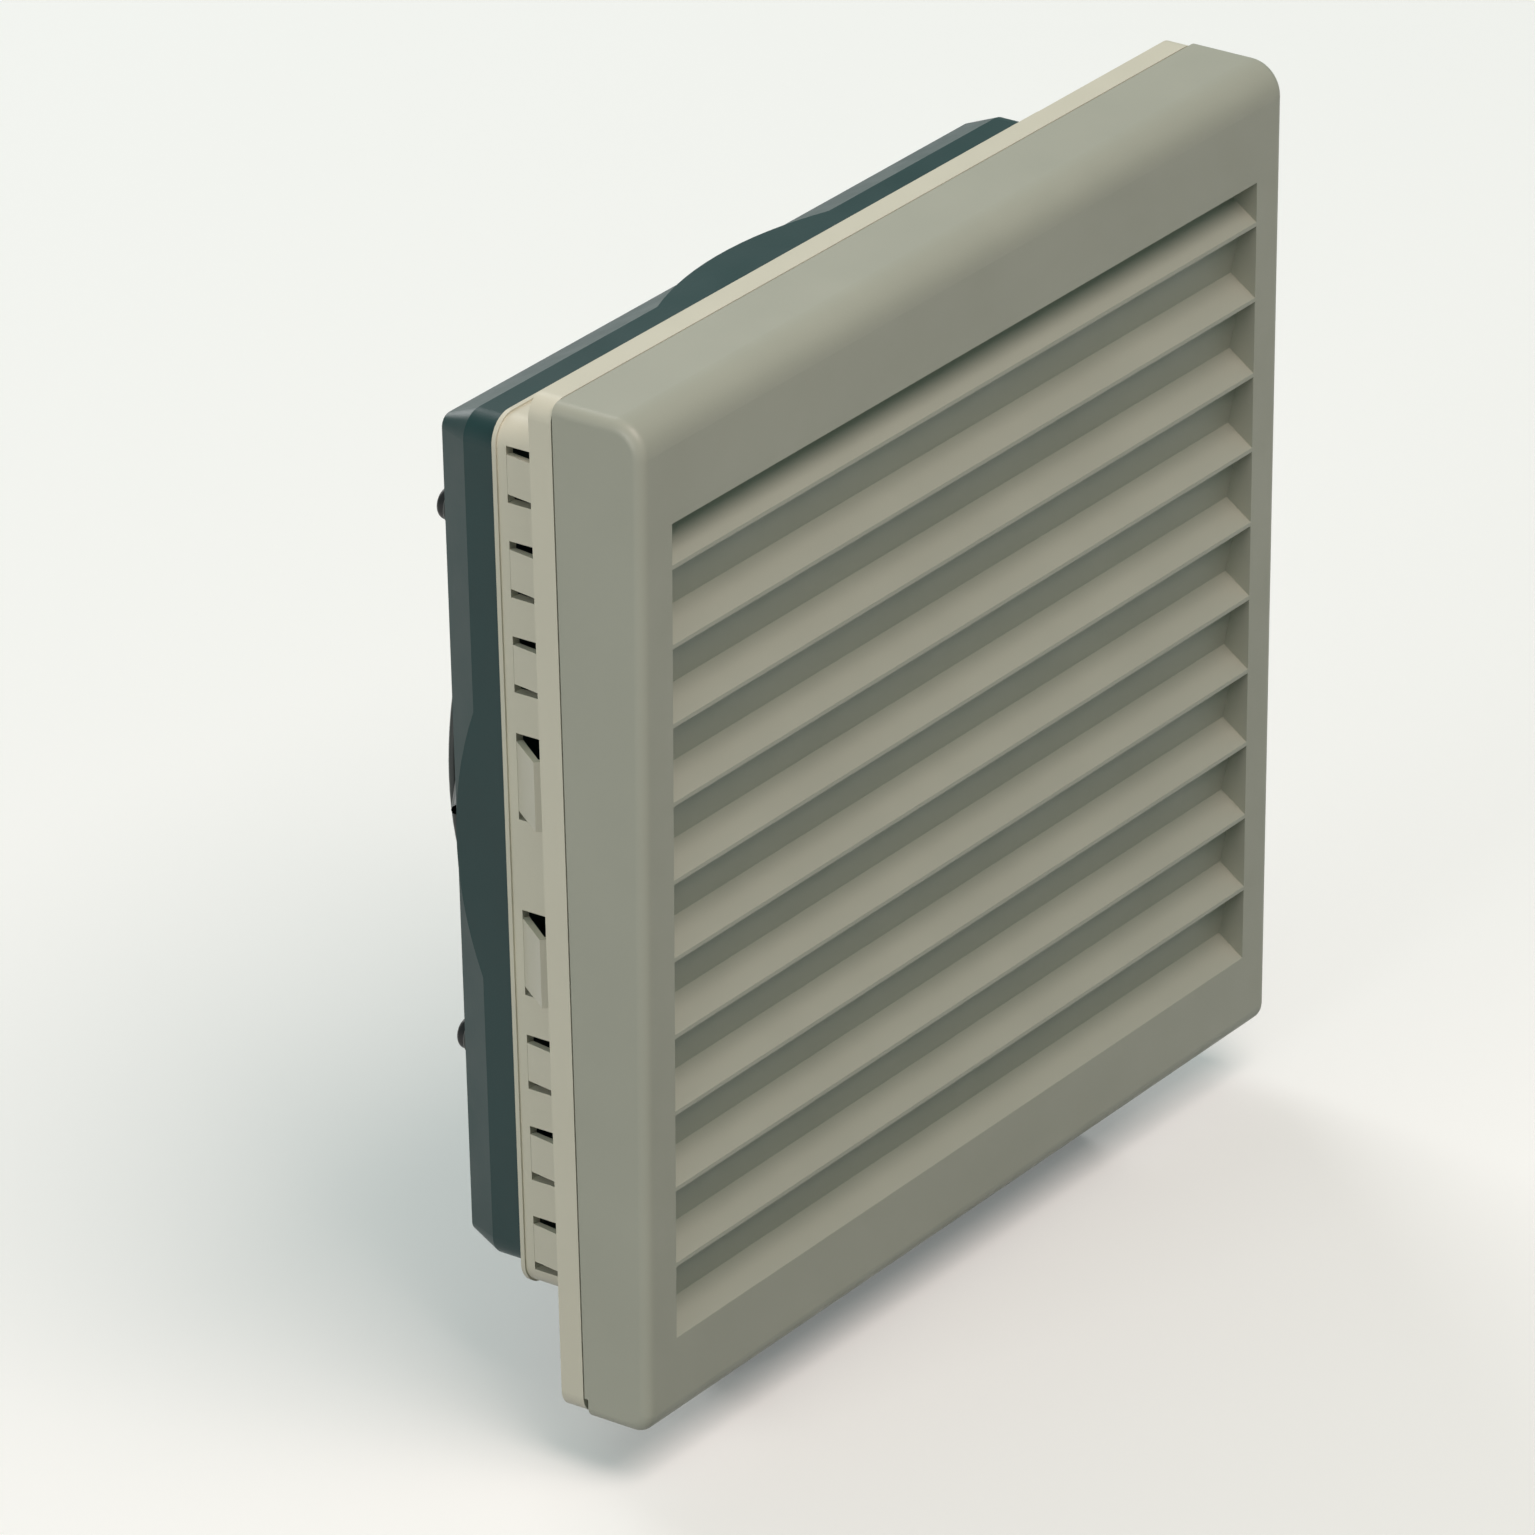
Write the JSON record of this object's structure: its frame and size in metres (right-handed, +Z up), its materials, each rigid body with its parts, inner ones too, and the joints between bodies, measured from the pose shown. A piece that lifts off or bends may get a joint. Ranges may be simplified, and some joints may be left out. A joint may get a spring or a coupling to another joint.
{
  "type": "cabinet filter fan",
  "caption": "Square cabinet filter fan: wedge louvre cover, snap-in frame with spring tabs, filter mat, and a dark fan with duct, impeller, motor and finger guard.",
  "frame": {"origin": "centre of the cutout, on the plane of the panel's outer face where the flange seats", "axes": "+X along the slats to the right as seen from the front, +Y into the cabinet along the fan's axis, +Z up"},
  "size_m": [0.204, 0.0757, 0.204],
  "materials": {
    "cover_grey": "fine satin texture",
    "frame_cream": "satin",
    "fan_black": "satin, glass filled",
    "frame_black": "satin, glass filled",
    "impeller_black": "satin",
    "seal_foam": "closed cell foam",
    "filter_fleece": "white needled fleece",
    "guard_wire": "dark powder coat",
    "screw_steel": "zinc plated",
    "black_steel": "blackened",
    "bearing_steel": "ground",
    "shaft_steel": "ground and polished",
    "spring_steel": "blued strip",
    "tube_brass": "turned",
    "core_iron": "varnished laminations",
    "ring_iron": "varnished",
    "cage_aluminium": "cast",
    "former_plastic": "natural",
    "coil_copper": "enamelled copper wire",
    "block_plastic": "natural",
    "earth_plate": "tinned",
    "lead_sleeve": "flexible insulation"
  },
  "bodies": {
    "base": {"base_frame": "frame_cream", "mat_grid": "frame_cream", "panel_seal": "seal_foam", "filter_mat": "filter_fleece", "fan_housing": "fan_black", "housing_screws": "screw_steel", "fan_frame": "frame_black", "fan_screws": "screw_steel", "finger_guard": "guard_wire", "guard_screws": "black_steel", "bearing_tube": "tube_brass", "bearing_front": "bearing_steel", "bearing_rear": "bearing_steel", "preload_spring": "spring_steel", "stator_core": "core_iron", "coil_former": "former_plastic", "stator_coils": "coil_copper", "terminal_block": "block_plastic", "terminal_screws": "screw_steel", "earth_tab": "earth_plate", "motor_leads": "lead_sleeve"},
    "rotor": {"impeller": "impeller_black", "rotor_ring": "ring_iron", "rotor_cage": "cage_aluminium", "rotor_bush": "tube_brass", "rotor_shaft": "shaft_steel", "shaft_circlip": "spring_steel"},
    "cover": {"louvre_cover": "cover_grey", "hinge_pins": "shaft_steel"},
    "left_tabs": {"left_snap_tabs": "frame_cream"},
    "right_tabs": {"right_snap_tabs": "frame_cream"}
  },
  "joints": [
    {"name": "rotor_spin", "type": "hinge", "parent": "base", "child": "rotor", "pos_m": [0, 0.018, 0], "axis": [0, 1, 0], "continuous": true},
    {"name": "cover_swing", "type": "hinge", "parent": "base", "child": "cover", "pos_m": [0, -0.012, -0.0998], "axis": [1, 0, 0], "range_deg": [0, 85]},
    {"name": "left_tab_flex", "type": "hinge", "parent": "base", "child": "left_tabs", "pos_m": [-0.0874, 0.0155, 0], "axis": [0, 0, 1], "range_deg": [0, 30], "stiffness_Nm_per_rad": 1.5},
    {"name": "right_tab_flex", "type": "hinge", "parent": "base", "child": "right_tabs", "pos_m": [0.0874, 0.0155, 0], "axis": [0, 0, -1], "range_deg": [0, 30], "stiffness_Nm_per_rad": 1.5}
  ]
}
